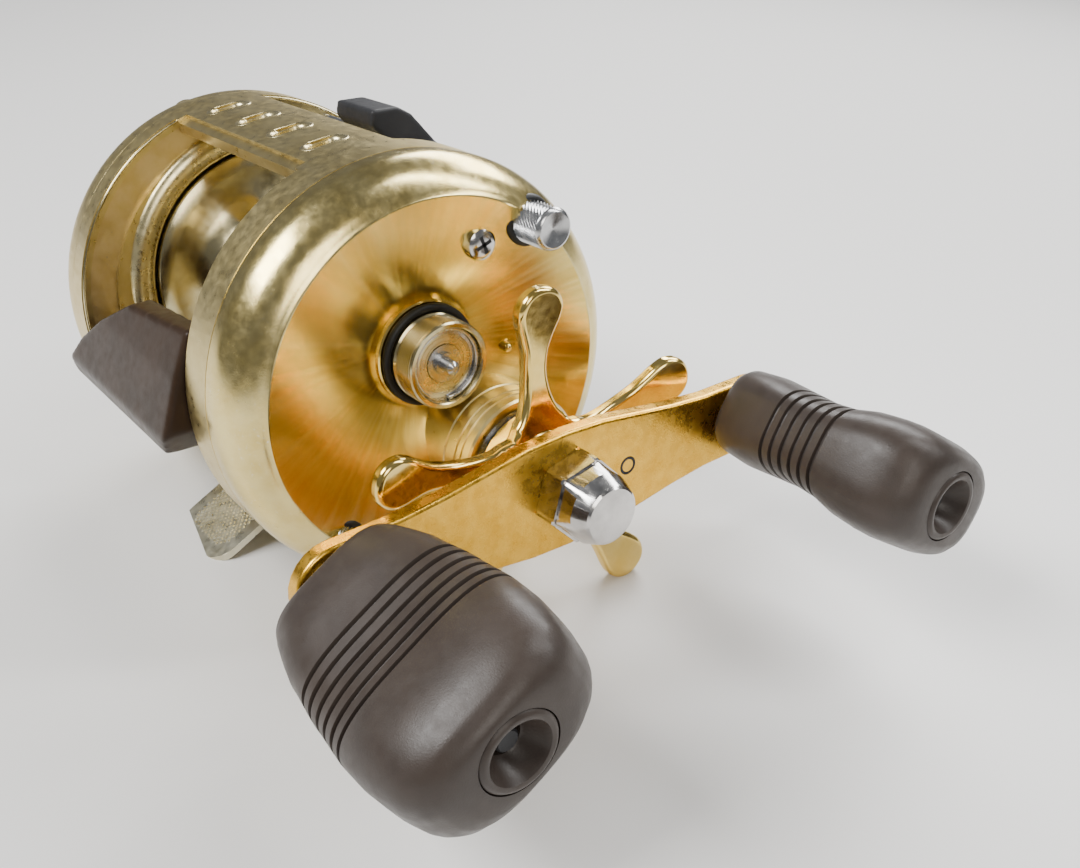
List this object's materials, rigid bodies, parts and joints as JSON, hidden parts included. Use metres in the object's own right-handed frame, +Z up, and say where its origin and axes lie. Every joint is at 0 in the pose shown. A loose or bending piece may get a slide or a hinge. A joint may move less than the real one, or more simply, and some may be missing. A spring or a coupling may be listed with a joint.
{
  "type": "baitcasting reel",
  "caption": "Round-profile right-hand baitcasting reel with double-knob power handle, star drag, level-wind line guide, thumb-bar clutch and a foot for a rod's reel seat",
  "frame": {"origin": "middle of the foot's underside, where the reel sits on the rod", "axes": "+X along the spool axis toward the handle, +Y toward the rod tip, +Z up from the foot"},
  "size_m": [0.1098, 0.0904, 0.062],
  "materials": {
    "amber_metal": "polished amber anodise",
    "champagne_metal": "satin champagne anodise",
    "chrome_metal": "bright plated",
    "steel": "ground steel",
    "gear_brass": "machined brass",
    "black_rubber": "smooth rubber",
    "black_plastic": "satin moulded",
    "knob_plastic": "satin moulded",
    "white_plastic": "moulded"
  },
  "bodies": {
    "housing": {"frame": "champagne_metal", "reel_foot": "champagne_metal", "foot_screws": "chrome_metal", "right_side_cover": "amber_metal", "left_side_cover": "champagne_metal", "brake_drum": "steel", "left_cover_screws": "chrome_metal", "drive_boss_sleeve": "champagne_metal", "drive_bearing": "steel", "boss_base_ring": "amber_metal", "boss_o_ring": "black_rubber", "right_bearing_outer": "steel", "right_bearing_balls": "steel", "bearing_clip": "steel", "left_bearing": "steel", "yoke_posts": "steel", "yoke_springs": "steel", "drive_bushing": "gear_brass", "worm_bushings": "black_plastic", "worm_tube": "chrome_metal", "guide_bar": "steel", "front_pillar": "champagne_metal", "screw_o_rings": "black_rubber", "cover_screw": "chrome_metal", "index_pin": "gear_brass"},
    "spool_body": {"spool": "champagne_metal", "spool_shaft": "steel", "spool_pin": "steel", "brake_hub": "black_plastic", "brake_weights": "white_plastic", "right_bearing_inner": "steel"},
    "yoke_body": {"pinion_yoke": "steel"},
    "pinion_body": {"pinion_gear": "gear_brass"},
    "thumb_body": {"thumb_bar": "knob_plastic", "clutch_slide": "steel"},
    "crank_body": {"drive_shaft": "steel", "drive_gear": "gear_brass", "drag_washers": "steel", "ratchet_wheel": "steel", "spring_washers": "steel", "handle_plate": "amber_metal", "handle_nut": "chrome_metal", "knob_post_near": "steel", "knob_post_far": "steel"},
    "star_body": {"star_drag": "amber_metal", "drag_nut": "gear_brass"},
    "near_knob_body": {"knob_near": "knob_plastic", "knob_cap_near": "knob_plastic"},
    "far_knob_body": {"knob_far": "knob_plastic", "knob_cap_far": "knob_plastic"},
    "idler_body": {"idler_gear": "white_plastic"},
    "worm_body": {"worm_shaft": "steel", "worm_gear": "white_plastic"},
    "guide_body": {"line_guide": "black_plastic", "line_guide_insert": "white_plastic", "line_pawl": "steel", "pawl_cap": "steel"},
    "pawl_body": {"anti_reverse_pawl": "steel"},
    "upper_thumbscrew_body": {"thumbscrew_upper": "chrome_metal"},
    "lower_thumbscrew_body": {"thumbscrew_lower": "chrome_metal"}
  },
  "joints": [
    {"name": "handle_spin", "type": "hinge", "parent": "housing", "child": "crank_body", "pos_m": [0.0257, 0.00835, 0.01745], "axis": [1, 0, 0], "continuous": true},
    {"name": "spool_spin", "type": "hinge", "parent": "housing", "child": "spool_body", "pos_m": [0.0257, 0.0017, 0.0313], "axis": [1, 0, 0], "continuous": true},
    {"name": "thumb_press", "type": "slide", "parent": "housing", "child": "thumb_body", "axis": [0, 0, -1], "range_m": [0, 0.0035]},
    {"name": "yoke_shift", "type": "slide", "parent": "housing", "child": "yoke_body", "axis": [1, 0, 0], "range_m": [0, 0.001], "deforming": ["yoke_springs"]},
    {"name": "pinion_spin", "type": "hinge", "parent": "yoke_body", "child": "pinion_body", "pos_m": [0.0257, 0.0017, 0.0313], "axis": [1, 0, 0], "continuous": true},
    {"name": "idler_spin", "type": "hinge", "parent": "housing", "child": "idler_body", "pos_m": [0.0257, 0.01747, 0.03283], "axis": [1, 0, 0], "continuous": true},
    {"name": "worm_spin", "type": "hinge", "parent": "housing", "child": "worm_body", "pos_m": [0.0257, 0.0206, 0.0412], "axis": [1, 0, 0], "continuous": true},
    {"name": "near_knob_spin", "type": "hinge", "parent": "crank_body", "child": "near_knob_body", "pos_m": [0.0257, -0.0242, 0.01745], "axis": [1, 0, 0], "continuous": true},
    {"name": "far_knob_spin", "type": "hinge", "parent": "crank_body", "child": "far_knob_body", "pos_m": [0.0257, 0.0409, 0.01745], "axis": [1, 0, 0], "continuous": true},
    {"name": "star_turn", "type": "hinge", "parent": "crank_body", "child": "star_body", "pos_m": [0.0257, 0.00835, 0.01745], "axis": [1, 0, 0], "range_deg": [-180, 180]},
    {"name": "line_guide_slide", "type": "slide", "parent": "housing", "child": "guide_body", "axis": [1, 0, 0], "range_m": [-0.01, 0.01]},
    {"name": "pawl_swing", "type": "hinge", "parent": "housing", "child": "pawl_body", "pos_m": [0.0257, -0.006, 0.0166], "axis": [1, 0, 0], "range_deg": [-12, 0]},
    {"name": "upper_thumbscrew_turn", "type": "hinge", "parent": "housing", "child": "upper_thumbscrew_body", "pos_m": [0.0257, 0.0149, 0.0474], "axis": [1, 0, 0], "continuous": true},
    {"name": "lower_thumbscrew_turn", "type": "hinge", "parent": "housing", "child": "lower_thumbscrew_body", "pos_m": [0.0257, -0.0161, 0.0121], "axis": [1, 0, 0], "continuous": true}
  ],
  "couplings": [
    {"joint": "spool_spin", "follows": "handle_spin", "ratio": -3.2308},
    {"joint": "pinion_spin", "follows": "handle_spin", "ratio": -3.2308},
    {"joint": "idler_spin", "follows": "handle_spin", "ratio": -1.9091},
    {"joint": "worm_spin", "follows": "handle_spin", "ratio": 4.2},
    {"joint": "yoke_shift", "follows": "thumb_press", "ratio": 0.2855}
  ]
}
